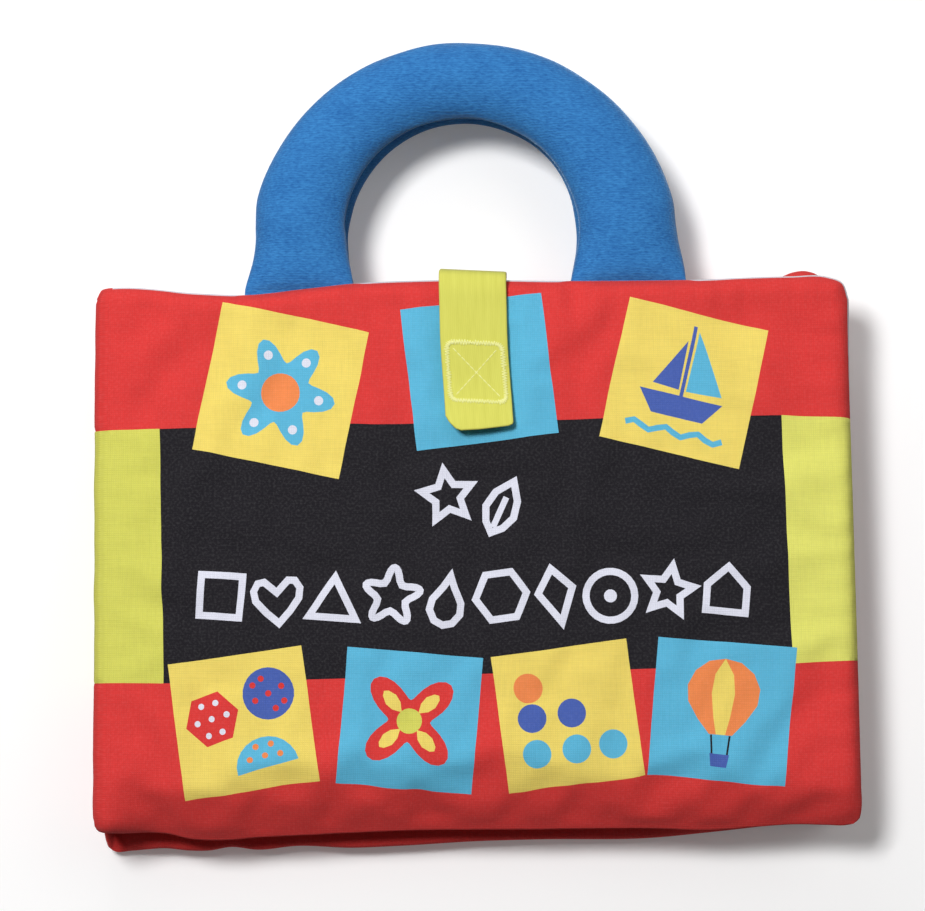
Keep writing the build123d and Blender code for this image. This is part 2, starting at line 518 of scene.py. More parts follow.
# Path of the covers' cloth from the middle of the spine, round the fold and over the cover
FOLD_RADIUS = 2.0
half_gap = (FRONT_SEAM - BACK_SEAM) / 2
spine_cloth = spine_high.x - FOLD_X
bulge = FOLD_X - spine_low.x - spine_cloth
spine_radius = (half_gap**2 + bulge**2) / (2 * bulge)
fold_start = math.asin((half_gap - FOLD_RADIUS) / (spine_radius - FOLD_RADIUS))
spine_length = spine_radius * fold_start
fold_length = FOLD_RADIUS * (math.pi / 2 - fold_start)
fold_centre = FOLD_X - bulge + spine_radius - (spine_radius - FOLD_RADIUS) * math.cos(fold_start)
SPINE_EDGE = fold_centre - spine_length - fold_length


def spine_path(along):
    """Place and outward direction, in X and Z from the spine's middle, at a distance along the cloth."""
    angle = np.minimum(along, spine_length) / spine_radius
    x = FOLD_X - bulge + spine_radius * (1 - np.cos(angle))
    z = spine_radius * np.sin(angle)
    turn = fold_start + np.clip(along - spine_length, 0, fold_length) / FOLD_RADIUS
    folded = along > spine_length
    x = np.where(folded, fold_centre - FOLD_RADIUS * np.cos(turn), x)
    z = np.where(folded, half_gap - FOLD_RADIUS * (1 - np.sin(turn)), z)
    x = x + np.maximum(along - spine_length - fold_length, 0)
    turn = np.where(folded, turn, angle)
    return x, z, -np.cos(turn), np.sin(turn)


# Outlines of the two covers' cloth, from the spine's middle along the top, down the fore edge and back along
# the bottom; the front one dips at the left handle foot, the back one is a little larger and turned
SPINE_TOP = 53.2
SPINE_BOTTOM = -144.5
SHEET_STEP = 2.4
EDGE_STEP = 1.6
front_top = [
    (SPINE_EDGE, SPINE_TOP), (-141, 54.2), (-130, 54.8), (-102, 52.6), (-84, 52), (-65, 54), (-46, 56.2),
    (-14, 57.6), (36, 57.3), (80, 57.7), (118, 59.0), (131, 59.0), (137.5, 56.5), (139.8, 50),
]
front_right = [
    (139.8, 50), (139.6, 20), (140.4, -30), (141.4, -90), (142, -130), (142.2, -138.5), (141.5, -141.8),
    (139.4, -143.6),
]
front_bottom = [
    (139.4, -143.6), (136, -144.2), (131, -144.1), (117, -143.9), (102, -144.9), (87, -146), (66, -145.4),
    (23, -145.8), (-27, -146.3), (-60, -147.8), (-79, -148.7), (-94, -149.8), (-105, -149.2),
    (-112.8, -147.4), (-120, -146.9), (-130, -147.2), (-139, -146.8), (SPINE_EDGE, SPINE_BOTTOM),
]
back_top = [
    (SPINE_EDGE, SPINE_TOP), (-141, 53.6), (-128, 54.4), (-60, 56.4), (0, 58.4), (60, 60.8), (104, 62.6),
    (117.5, 64), (122.5, 66), (127.5, 66.6), (132, 65.2), (135.6, 61), (137.4, 52),
]
back_right = [(137.4, 52), (139, 0), (140.2, -90), (140.4, -130), (138.4, -139.5), (133, -143.4)]
back_bottom = [
    (133, -143.4), (119, -144.2), (89, -147.3), (68, -149.3), (24, -149.9), (2.5, -150.5), (-28, -152.3),
    (-46, -153), (-66, -152.3), (-81, -153.7), (-91, -152.7), (-99, -154), (-107, -154), (-115, -153.2),
    (-129, -154.2), (-135, -154.6), (-139.5, -151.9), (-144, -147.4), (SPINE_EDGE, SPINE_BOTTOM),
]

# Bands of the print: a lime panel at each side of a black one, on red, as corner points
LIME_TOP = 0.2
LIME_BOTTOM = -92.4
BLACK_CORNERS = [(-115.6, 1.0), (113.0, 6.2), (116.0, -85.4), (-113.7, -92.4)]


def cover_outline(top, right, bottom):
    """A cover's sewn edges, its closed outline that ends along the spine, and the count of those steps."""
    sewn = [run_through(part, EDGE_STEP) for part in (top, right, bottom)]
    middle = np.array([(SPINE_EDGE, y) for y in (SPINE_BOTTOM, LIME_BOTTOM, LIME_TOP, SPINE_TOP)])
    steps = []
    for start, end in zip(middle[:-1], middle[1:]):
        count = math.ceil((end[1] - start[1]) / SHEET_STEP)
        steps += [start + (end - start) * k / count for k in range(count)]
    steps = np.array(steps[1:])
    outline = np.concatenate([sewn[0], sewn[1][1:], sewn[2][1:], steps])
    return sewn, outline, len(steps) + 1


def square(x, y, side, turn):
    """Corners of a turned square."""
    return turned([(-0.5, -0.5), (0.5, -0.5), (0.5, 0.5), (-0.5, 0.5)], x, y, side, turn)


def turned(points, x, y, size, turn):
    """Points scaled, turned by an angle in degrees and moved."""
    c, s = math.cos(math.radians(turn)), math.sin(math.radians(turn))
    return [(x + size * (a * c - b * s), y + size * (a * s + b * c)) for a, b in points]


def ring(sides, pull=0.0, lobes=0):
    """A round outline of radius 1, pulled in and out by a share for each of its lobes."""
    angles = [2 * math.pi * k / sides for k in range(sides)]
    reach = [1 - pull / 2 + pull / 2 * math.cos(lobes * a) for a in angles]
    return [(r * math.cos(a), r * math.sin(a)) for r, a in zip(reach, angles)]


def stroke(points, width):
    """The outline of a drawn line of one width."""
    line = np.asarray(points, float)
    return [*inset(line, width / 2), *inset(line, -width / 2)[::-1]]


STAR = [
    (r * math.sin(math.pi * k / 5), r * math.cos(math.pi * k / 5)) for k, r in enumerate([1, 0.5] * 5)
]
HEART = [
    (0, -1), (0.5, -0.52), (0.88, -0.05), (0.96, 0.38), (0.74, 0.74), (0.38, 0.78), (0, 0.42),
    (-0.38, 0.78), (-0.74, 0.74), (-0.96, 0.38), (-0.88, -0.05), (-0.5, -0.52),
]
LEAF_SHAPE = [
    (0, -1.1), (0.4, -0.72), (0.62, -0.2), (0.5, 0.42), (0, 1.15), (-0.5, 0.42), (-0.62, -0.2), (-0.4, -0.72),
]
KITE = [(0, 1.15), (0.72, 0.25), (0, -1.1), (-0.72, 0.25)]
HOUSE = [(-0.8, -0.85), (0.8, -0.85), (0.8, 0.2), (0, 1), (-0.8, 0.2)]
DROP = [
    (0, 1.1), (0.3, 0.5), (0.62, 0), (0.66, -0.45), (0.4, -0.86), (0, -1), (-0.4, -0.86), (-0.66, -0.45),
    (-0.62, 0), (-0.3, 0.5),
]
TRIANGLE = ring(3)
SQUARE = ring(4)
HEXAGON = ring(6)
CIRCLE = ring(26)
FLOWER = ring(50, 0.42, 5)
FOUR_PETALS = ring(56, 0.62, 4)
SIX_PETALS = ring(60, 0.46, 6)
HALF = [(math.cos(math.pi * k / 12), math.sin(math.pi * k / 12) - 0.4) for k in range(13)]
BALLOON = [
    (0, 1), (0.42, 0.92), (0.76, 0.66), (0.94, 0.28), (0.9, -0.14), (0.62, -0.58), (0.3, -0.96),
    (-0.3, -0.96), (-0.62, -0.58), (-0.9, -0.14), (-0.94, 0.28), (-0.76, 0.66), (-0.42, 0.92),
]
BALLOON_STRIPE = [
    (0, 1), (0.24, 0.6), (0.3, 0.1), (0.22, -0.5), (0.12, -0.96), (-0.12, -0.96), (-0.22, -0.5),
    (-0.3, 0.1), (-0.24, 0.6),
]
PETAL = [(0, 0), (0.2, 0.3), (0.25, 0.6), (0.14, 0.9), (0, 1), (-0.14, 0.9), (-0.25, 0.6), (-0.2, 0.3)]


def motif(x, y, turn, shapes):
    """Shapes on a square, each as colour, points, place, size and own turn, turned with the square."""
    fields = []
    for colour, points, (a, b), size, own_turn in shapes:
        drawn = turned(points, a, b, size, own_turn)
        fields.append((colour, turned(drawn, x, y, 1, turn)))
    return fields


DOT_RADIUS = 1.15


def dotted(colour, dot, points, place, size, turn, dots):
    """A shape with round dots on it."""
    shapes = [(colour, points, place, size, turn)]
    return shapes + [(dot, ring(12), (place[0] + a, place[1] + b), DOT_RADIUS, 0) for a, b in dots]


# Squares of the print: colour, centre, side and turn
SQUARES = [
    (YELLOW, -71.2, 14.9, 55.2, -11.6),
    (SKY, 2.1, 22.4, 52.4, 7.1),
    (YELLOW, 77.6, 17.8, 52.4, -12.9),
    (YELLOW, -84.2, -106.6, 49.6, 8.2),
    (SKY, -23.5, -105.8, 49.8, -4.9),
    (YELLOW, 34.3, -104.1, 49.9, 7.8),
    (SKY, 90.4, -102.6, 50.3, -4.8),
]
flower_dots = turned(ring(6), 0, -1, 14.5, 0)
circle_dots = [(0, 0), (5, 2), (-5, -2), (2, -5.6), (-2, 5.6), (5.4, -3.4), (-5.4, 3.6)]
hexagon_dots = [(0, 0), (5.6, 1), (-5.6, -1), (2, 5.6), (-3.4, 5), (3.4, -5), (-2, -5.8)]
half_dots = [(0, 0), (5.6, 0), (-5.6, -1), (2.6, 4), (-3, 3.6)]
sail_waves = [(-18 + 3 * k, -15.5 + 1.3 * math.sin(1.6 * k)) for k in range(13)]
MOTIFS = [
    [(SKY, SIX_PETALS, (0, -1), 20.5, 0), (ORANGE, CIRCLE, (0, -1), 7.2, 0)]
    + [(WHITE, ring(14), place, 1.7, 0) for place in flower_dots],
    [],
    [
        (INDIGO, [(-1, 0), (1, 0), (0.62, -0.52), (-0.62, -0.52)], (0, -5), 15.5, 0),
        (INDIGO, [(0.04, 0), (0.04, 1.55), (-0.04, 1.55), (-0.04, 0)], (0, -5), 17, 0),
        (SKY, [(0.08, 0.12), (0.86, 0.16), (0.1, 1.45)], (0, -5), 17, 0),
        (INDIGO, [(-0.08, 0.12), (-0.66, 0.16), (-0.1, 1.2)], (0, -5), 17, 0),
        (SKY, stroke(sail_waves, 2.2), (0, -3), 1, 0),
    ],
    dotted(INDIGO, RED, CIRCLE, (10.5, 9.5), 9.4, 0, circle_dots)
    + dotted(RED, WHITE, HEXAGON, (-11, 3), 10.2, 12, hexagon_dots)
    + dotted(SKY, ORANGE, HALF, (6.5, -12.5), 11.4, 8, half_dots),
    [
        (RED, FOUR_PETALS, (0, 0), 20, 45),
        (YELLOW, PETAL, (3, 3), 10, -45), (YELLOW, PETAL, (-3, 3), 10, 45),
        (YELLOW, PETAL, (3, -3), 10, -135), (YELLOW, PETAL, (-3, -3), 10, 135),
        (LIME, CIRCLE, (0, 0), 4.6, 0),
    ],
    [(ORANGE, CIRCLE, (-13, 12), 5.4, 0)]
    + [(INDIGO, CIRCLE, (a, 1), 5.2, 0) for a in (-13, 1.5)]
    + [(SKY, CIRCLE, (a, -12), 5.2, 0) for a in (-13, 1.5, 15)],
    [
        (ORANGE, BALLOON, (0, 5), 14, 0),
        (YELLOW, BALLOON_STRIPE, (0, 5), 14, 0),
        (BLACK, stroke([(-3.4, -8.6), (-2.8, -15.5)], 0.7), (0, 0), 1, 0),
        (BLACK, stroke([(3.4, -8.6), (2.8, -15.5)], 0.7), (0, 0), 1, 0),
        (INDIGO, [(-1, 0.6), (1, 0.6), (0.8, -0.7), (-0.8, -0.7)], (0, -17.6), 3.6, 0),
    ],
]

# White outlined shapes on the black panel: points, place, size, turn; a short row over a long one
LINE_WIDTH = 2.6
DRAWN = [
    (STAR, (-9.5, -24), 12.5, 8), (LEAF_SHAPE, (10.5, -28), 11, -24),
    (SQUARE, (-93, -60.5), 12.4, 41), (HEART, (-72, -62), 10.4, 5), (TRIANGLE, (-51.5, -63.5), 12.4, 86),
    (FLOWER, (-30, -60.5), 11.8, 12), (DROP, (-10, -62), 10.6, -10), (HEXAGON, (10, -60.5), 11, 8),
    (KITE, (30.5, -61), 11, 12), (CIRCLE, (50, -60.5), 10.2, 0), (STAR, (71.5, -58.5), 12, -10),
    (HOUSE, (92.5, -58.5), 10.6, -5),
]


def drawn_shape(points, place, size, turn):
    """A white line round a shape of the black panel, as a white field with a black one inside it."""
    line = np.array(turned(points, *place, size, turn))
    ahead = np.roll(line, -1, axis=0) - line
    ahead /= np.linalg.norm(ahead, axis=1)[:, None]
    inward = np.stack([-ahead[:, 1], ahead[:, 0]], axis=1)
    area = (line[:, 0] * np.roll(line[:, 1], -1) - line[:, 1] * np.roll(line[:, 0], -1)).sum()
    inward *= math.copysign(1, area)
    before = np.roll(inward, 1, axis=0)
    step = (inward + before) / (1 + (inward * before).sum(axis=1))[:, None]
    fields = [(WHITE, line), (BLACK, line + LINE_WIDTH * step)]
    if points is CIRCLE:
        fields.append((WHITE, turned(ring(14), *place, 2.4, 0)))
    if points is LEAF_SHAPE:
        fields.append((WHITE, turned(stroke([(0, -0.75), (0, 0.35)], 0.2), *place, size, turn)))
    return fields


front_sewn, front_outline, front_open = cover_outline(front_top, front_right, front_bottom)
back_sewn, back_outline, back_open = cover_outline(back_top, back_right, back_bottom)

# The lime panels start on the outline's own points at the spine
lime_rows = (front_outline[:, 1] >= LIME_BOTTOM) & (front_outline[:, 1] <= LIME_TOP)
lime_start = front_outline[lime_rows & (front_outline[:, 0] == SPINE_EDGE)][::-1]

# The unprinted margin runs along the top seam and the upper fore edge, and gets narrow at the handle's feet
EDGE_GAP = 0.25
MARGIN_START = 12
MARGIN_END = 5.0
MARGIN_FADE = 40
NARROW_MARGIN = 0.05
MARGIN_GAIN = 0.7
FEET = [(-85, -45), (36, 79)]
FOOT_FADE = 5
LIME_CLEARANCE = 0.6
lime_high = BLACK_CORNERS[1][1] - LIME_CLEARANCE
lime_low = BLACK_CORNERS[2][1] + LIME_CLEARANCE
lime_edge = front_sewn[1][(front_sewn[1][:, 1] < lime_high) & (front_sewn[1][:, 1] > lime_low)]
margin_line = np.concatenate([front_sewn[0][MARGIN_START:], front_sewn[1][1:]])
margin_line = margin_line[margin_line[:, 1] > MARGIN_END]
margin_x, margin_y = margin_line[:, :1], margin_line[:, 1:]
at_feet = sum(
    ramp(margin_x, start - FOOT_FADE, start) * (1 - ramp(margin_x, end, end + FOOT_FADE))
    for start, end in FEET
)
margin_gain = MARGIN_GAIN * ramp(margin_y, MARGIN_END, MARGIN_END + MARGIN_FADE) * (1 - at_feet)
margin_width = EDGE_GAP + NARROW_MARGIN + margin_gain
# The right lime panel takes the paler lime, partly painted light for the brighter light on the right side
front_fields = [
    (LIME, [BLACK_CORNERS[3], BLACK_CORNERS[0], *lime_start]),
    (PALE_LIME_WITH_PAINTED_LIGHT, [BLACK_CORNERS[1], *inset(lime_edge, EDGE_GAP), BLACK_CORNERS[2]]),
    (BLACK, BLACK_CORNERS),
]
for (colour, x, y, side, turn), shapes in zip(SQUARES, MOTIFS):
    front_fields.append((colour, square(x, y, side, turn)))
    front_fields += motif(x, y, turn, shapes)
for shape in DRAWN:
    front_fields += drawn_shape(*shape)
front_fields.append((UNPRINTED, [*inset(margin_line, EDGE_GAP), *inset(margin_line, margin_width)[::-1]]))


def edge_rows(sewn, steps):
    """Rows of points just inside the sewn edges, where a padded sheet turns most."""
    line = np.concatenate([sewn[0], sewn[1][1:], sewn[2][1:]])
    return np.concatenate([inset(line, gap)[3:-3] for gap in steps])


def fold_rows(steps):
    """Rows of points along the fold of a cover's cloth, where it turns from the spine onto the cover."""
    lines = [SPINE_EDGE + spine_length + fold_length * share for share in steps]
    places = np.arange(SPINE_BOTTOM + 3, SPINE_TOP - 2, 2.0)
    return np.array([(x, y) for x in lines for y in places])


def rim(gap, width):
    """Share of the full height at a distance from a seam, round like a stuffed edge."""
    return np.sqrt(1 - (1 - np.clip(gap / width, 0, 1)) ** 2)


# Height of the cloth over its path from the spine's middle: outside and inside
cover_start = spine_length + fold_length
OUTER_KNOTS = [0, 8, spine_length, cover_start, cover_start + 4, cover_start + 11]
OUTER_HEIGHTS = [1.2, 1.3, 3.4, 5.4, 6.2, 6.5]
INNER_KNOTS = [0, spine_length, cover_start + 1, cover_start + 6, cover_start + 14]
INNER_HEIGHTS = [1.2, 1.0, 0.9, 4.6, 6.4]

# The front cover sinks at the bottom edge, and the leaves under it with it
SINK_DEPTHS = [8.5, 10, 10.5, 9.5, 7, 4]
SINK_SHARE = 1.2
ROLL_PLACES = [-140, -70, 0, 50, 95, 140]
ROLL_WIDTHS = [22, 27, 30, 28, 23, 18]
ROLL_ROUNDNESS = 2.2
ROLL_WAVE = 0.1

# Unevenness of the front cover: broad and fine swells, gathers at the seams and a dent under the loop tape
BROAD_SWELL = 0.7
FINE_SWELL = 0.3
PUCKER_HEIGHT = 1.2
PATCH_DENT = 0.8

# The folded edge at the spine leans and waves
EDGE_LEAN = 0.3
EDGE_TURN = 1.3
EDGE_WAVE = 0.4

# The back cover curls up along its bottom seam
BACK_CURL = 5.0
CURL_WIDTH = 10.0
CURL_ROUNDNESS = 1.5

loop_low, loop_high = (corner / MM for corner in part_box("loop_patch"))


def bottom_gap(x, y):
    """Height in Y over the front cover's bottom seam."""
    line = front_sewn[2][::-1]
    return y - np.interp(x, line[:, 0], line[:, 1])


def sink(x, y):
    """How far the front cover sinks towards its bottom seam."""
    away = np.clip(1 - bottom_gap(x, y) / (SINK_SHARE * smooth(x, ROLL_PLACES, ROLL_WIDTHS)), 0, 1)
    wave = 1 + ROLL_WAVE * wobble(x, np.zeros(len(x)), size=20, seed=5.3)
    return smooth(x, ROLL_PLACES, SINK_DEPTHS) * wave * away**2 * ramp(x, SPINE_EDGE + 6, fold_centre + 12)


def edge_sway(p, y):
    """How far the folded left edge leans and waves in X along the spine."""
    wave = wobble(y, np.zeros(len(y)), size=13, seed=8.2)
    lean = EDGE_LEAN - EDGE_TURN * ramp(y, -130, 50) + EDGE_WAVE * wave
    return lean * (1 - ramp(p, fold_centre, fold_centre + 60))


def puckers(p, y, top_gap, right_gap, seam_gap):
    """Small gathers across the top and right seams, strongest just inside them."""
    beside_feet = np.exp(-((np.abs(np.subtract.outer(p, np.ravel(FEET))).min(axis=1) / 7) ** 2))
    across_top = wobble(p, 0.2 * y, size=7, seed=2.2) * (1 - ramp(top_gap, 5, 24)) * (1 + beside_feet)
    across_right = wobble(0.2 * p, y, size=9, seed=6.1) * (1 - ramp(right_gap, 5, 20))
    return PUCKER_HEIGHT * ramp(seam_gap, 0, 4) * (across_top + across_right)


def lay_front(flat, side):
    """Lays the front cover's cloth round the spine and over the padding, for the outer or the inner sheet."""
    p, y = flat[:, 0], flat[:, 1]
    along = p - SPINE_EDGE
    x, z, out_x, out_z = spine_path(along)
    x = x + edge_sway(p, y)
    top_gap, right_gap = gap_to(flat, front_sewn[0]), gap_to(flat, front_sewn[1])
    edge_gap = np.minimum(top_gap, right_gap)
    low_gap = gap_to(flat, front_sewn[2])
    soft = ramp(along, spine_length, spine_length + 25)
    if side > 0:
        across_roll = np.clip(low_gap / smooth(p, ROLL_PLACES, ROLL_WIDTHS), 0, 1)
        low_rim = 1 - (1 - across_roll) ** ROLL_ROUNDNESS
        low_rim = soft * low_rim + (1 - soft) * rim(low_gap, width=4)
        height = smooth(along, OUTER_KNOTS, OUTER_HEIGHTS) * rim(edge_gap, width=7) * low_rim
        swell = BROAD_SWELL * wobble(p, y, size=48, seed=3.1)
        swell += FINE_SWELL * wobble(p, y, size=19, seed=7.7)
        in_patch = np.maximum(loop_low.x - p, p - loop_high.x)
        in_patch = np.maximum(in_patch, np.maximum(loop_low.y - y, y - loop_high.y))
        near_patch = 1 - ramp(in_patch, 0.5, 5)
        seam_gap = np.minimum(edge_gap, low_gap)
        height += swell * soft * ramp(seam_gap, 0, 12) * (1 - near_patch)
        height += soft * puckers(p, y, top_gap, right_gap, seam_gap)
        height -= PATCH_DENT * near_patch
    else:
        height = smooth(along, INNER_KNOTS, INNER_HEIGHTS) * rim(edge_gap, width=9) * rim(low_gap, width=10)
    reach = side * np.maximum(height, 0)
    return np.stack([x + out_x * reach, y, SPINE_MID + z + out_z * reach - sink(p, y)], axis=1)


def lay_back(flat, side):
    """Lays the back cover's cloth, the front one's mirror image, flat on the floor."""
    p, y = flat[:, 0], flat[:, 1]
    along = p - SPINE_EDGE
    x, z, out_x, out_z = spine_path(along)
    x = x + edge_sway(p, y)
    gaps = [gap_to(flat, part) for part in back_sewn]
    if side > 0:
        height = smooth(along, OUTER_KNOTS, OUTER_HEIGHTS)
    else:
        height = smooth(along, INNER_KNOTS, INNER_HEIGHTS)
    reach = side * height * rim(np.min(gaps, axis=0), width=9)
    curl = BACK_CURL * np.clip(1 - gaps[2] / CURL_WIDTH, 0, 1) ** CURL_ROUNDNESS
    curl *= ramp(p, fold_centre + 2, fold_centre + 16) * (1 - ramp(p, 0, 120))
    return np.stack([x + out_x * reach, y, np.maximum(SPINE_MID - z - out_z * reach + curl, 0)], axis=1)


# Settling of the covers: their padding presses the sheets out, which gather at the seams. The coarse copy's
# spacing, its frames, the farthest move, and the reach and count of the places that a point follows
SETTLE_STEP = 5.5
SETTLE_FRAMES = 20
SETTLE_CAP = 2.0
SETTLE_REACH = 4.0
SETTLE_COUNT = 9

# How firmly the cloth is held, from 0 to 1: anywhere, on the outer sheet's middle, at the bottom roll and in
# the box under the strap, which reaches past the loop tape
LEAST_HOLD = 0.03
OUTER_HOLD = 0.47
ROLL_HOLD = 0.4
STRAP_HOLD = 0.95
HELD_HALF_WIDTH = 13
HELD_TAIL = 12
SEWN_GAP = 0.2


def settle(outline, lay, open_count, hold):
    """Places of a coarse copy of a sewn cover and how far each moves as the padding presses on it."""
    sheets = [cut_sheet(outline, [], [], RED, SETTLE_STEP)] * 2
    copy = cloth_object("settling_copy", [cloth_pad(sheets, lay, open_count)], cotton)
    rest = np.array([vertex.co for vertex in copy.data.vertices]) / MM
    kept = copy.vertex_groups.new(name="kept")
    for i, share in enumerate(hold(rest)):
        kept.add([i], float(share), "REPLACE")
    cloth = copy.modifiers.new("padding", "CLOTH")
    cloth.settings.quality = 6
    cloth.settings.bending_stiffness = 5.0
    cloth.settings.shrink_min = -0.02
    cloth.settings.use_pressure = True
    cloth.settings.uniform_pressure_force = 4.0
    cloth.settings.effector_weights.gravity = 0
    cloth.settings.vertex_group_mass = kept.name
    cloth.point_cache.frame_end = SETTLE_FRAMES
    for number in range(1, SETTLE_FRAMES + 1):
        bpy.context.scene.frame_set(number)
    shown = copy.evaluated_get(bpy.context.evaluated_depsgraph_get())
    moves = np.array([vertex.co for vertex in shown.data.vertices]) / MM - rest
    bpy.context.scene.frame_set(1)
    bpy.data.objects.remove(copy)
    far = np.linalg.norm(moves, axis=1)[:, None]
    return rest, moves * np.minimum(far, SETTLE_CAP) / np.maximum(far, TINY)


def follow(points, rest, moves):
    """Points moved with the settled places nearest to them."""
    tree = near_tree(rest)
    moved = []
    for point in points:
        near = tree.find_n(point, SETTLE_COUNT)
        weights = np.exp(-((np.array([gap for _, _, gap in near]) / SETTLE_REACH) ** 2))
        moved.append(point + weights @ moves[[i for _, i, _ in near]] / weights.sum())
    return np.array(moved)


def hold_front(places):
    """How firmly the front cover's cloth is held: at its seams, the spine, the leaves and the strap."""
    x, y, z = places.T
    gap = np.min([gap_to(places[:, :2], part) for part in front_sewn], axis=0)
    outer = z > FRONT_SEAM - sink(x, y)
    against_leaves = (1 - LEAST_HOLD) * ramp(gap, 4, 14)
    held = LEAST_HOLD + np.where(outer, OUTER_HOLD * ramp(gap, 8, 48), against_leaves)
    low_gap = gap_to(places[:, :2], front_sewn[2])
    held = np.maximum(held, ROLL_HOLD * ramp(low_gap, 2, 10) * (1 - ramp(low_gap, 24, 44)))
    held = np.maximum(held, 1 - ramp(x, FOLD_X + 2, FOLD_X + 14))
    beside_strap = np.abs(x - (loop_low.x + loop_high.x) / 2) - HELD_HALF_WIDTH
    strap_gap = np.maximum(beside_strap, loop_low.y - HELD_TAIL - y)
    held = np.maximum(held, STRAP_HOLD * (1 - ramp(strap_gap, 0, 8)))
    return np.where(gap < SEWN_GAP, 1, held)


def hold_back(places):
    """How firmly the back cover's cloth is held: all but its rounded edges."""
    gap = np.min([gap_to(places[:, :2], part) for part in back_sewn], axis=0)
    held = LEAST_HOLD + (1 - LEAST_HOLD) * ramp(gap, 4, 14)
    held = np.maximum(held, 1 - ramp(places[:, 0], FOLD_X + 2, FOLD_X + 14))
    return np.where(gap < SEWN_GAP, 1, held)


ROW_STEPS = (0.5, 1.3, 2.6, 4.4)
FOLD_STEPS = (-1.5, -0.6, 0, 0.25, 0.5, 0.75, 1, 1.5, 2.2, 3.2)
LINING_STEP = 4.0


def cover_piece(name, outline, sewn, open_count, fields, spacing, lay, hold):
    """A cover's cloth: cut along its print, sewn to its lining, laid over the padding and settled."""
    rows = np.concatenate([edge_rows(sewn, ROW_STEPS), fold_rows(FOLD_STEPS)])
    sheets = [
        cut_sheet(outline, rows, fields, RED, spacing),
        cut_sheet(outline, rows, [], RED, LINING_STEP),
    ]
    points, *pattern = cloth_pad(sheets, lay, open_count)
    points = follow(points, *settle(outline, lay, open_count, hold))
    points[:, 2] = np.maximum(points[:, 2], 0)
    return cloth_object(name, [(points, *pattern)], cotton)


front = cover_piece(
    "front_cover_cloth",
    front_outline,
    front_sewn,
    front_open,
    front_fields,
    SHEET_STEP,
    lay_front,
    hold_front,
)
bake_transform(front)
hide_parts("front_cover", "spine_panel")

back_fields = [(LIME, [(139.6, LIME_BOTTOM), (138.8, LIME_TOP), *lime_start])]
back = cover_piece(
    "back_cover_cloth",
    back_outline,
    back_sewn,
    back_open,
    back_fields,
    LINING_STEP,
    lay_back,
    hold_back,
)
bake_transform(back)
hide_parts("back_cover", "spine_panel")


# Leaves: padded panels on each other, each moved a little, lower along the bottom edge where the front cover
# presses on them
LEAF_SHIFTS = [(0.8, 0.5), (-0.6, -0.4), (0.2, 0.3)]
LEAF_CORNER = 9.0
LEAF_SPACING = 4.5
LEAF_FULLNESS = 0.97
LEAF_DENT = 0.08
LEAF_SINK = 1.05
leaf_half = (pages_high.z - pages_low.z) / len(LEAF_SHIFTS) / 2


def leaf_pad(number, shift):
    """One padded leaf, moved by a shift in X and Y."""
    outline = split(rounded_box(pages_low, pages_high, LEAF_CORNER, 6), 4.0)[::-1] + np.array(shift)
    loop = np.concatenate([outline, outline[:1]])
    seam = pages_low.z + (2 * number + 1) * leaf_half

    def lay(flat, side):
        x, y = flat.T
        height = leaf_half * LEAF_FULLNESS * rim(gap_to(flat, loop), width=6)
        height *= 1 - LEAF_DENT * np.abs(wobble(x, y, size=40, seed=number + 0.5))
        z = seam + side * height
        share = (z - pages_low.z) / (pages_high.z - pages_low.z)
        return np.stack([x, y, z - LEAF_SINK * sink(x, y - 2) * share], axis=1)

    return cloth_pad(pad_sheets(outline, (0.6, 1.6, 3.2), LEAF, LEAF_SPACING), lay)


leaf_pads = [leaf_pad(number, shift) for number, shift in enumerate(LEAF_SHIFTS)]
leaves = cloth_object("leaf_block", leaf_pads, cotton)
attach(leaves, "back")
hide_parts("pages")


# Handles: stuffed arches between an outer and an inner circle, with legs that flatten into a top seam
OUTER_X, OUTER_Y, OUTER_RADIUS = -3.15, 68.7, 80.5
INNER_X, INNER_Y, INNER_RADIUS = -4.4, 76.3, 43.8
RIGHT_HEIGHTS = [-9, -4, -0.5, 2, 5.5, 11, 16, 22]
LEG_RIGHT = [79.4, 79.4, 79.3, 79.1, 78.8, 77.9, 76.8, 75.8]
LEG_RIGHT_INNER = [36.4, 36.4, 36.5, 36.8, 37.4, 38.4, 39.2, 39.4]
LEFT_HEIGHTS = [-11, -7.5, -4, -1.5, 2.5, 9, 16, 22]
LEG_LEFT = [-85.2, -85.2, -85.2, -84.9, -84, -82.5, -81.5, -81.5]
LEG_LEFT_INNER = [-44.6, -44.6, -44.6, -44.8, -45.4, -46.7, -47.6, -48.2]
LEG_THICKNESS = [0.7, 0.7, 1.2, 6.5, 11.5, 15.5, 17.6, 18.5]
LEG_RISE = [0, 0, 0.02, 0.2, 0.5, 0.85, 1, 1]
HANDLE_THICKNESS = 18.5
HANDLE_UNEVEN = 0.022
ARCH_ANGLES = np.linspace(15, 165, 21)
STATION_STEP = 2.6
RING_POINTS = 44


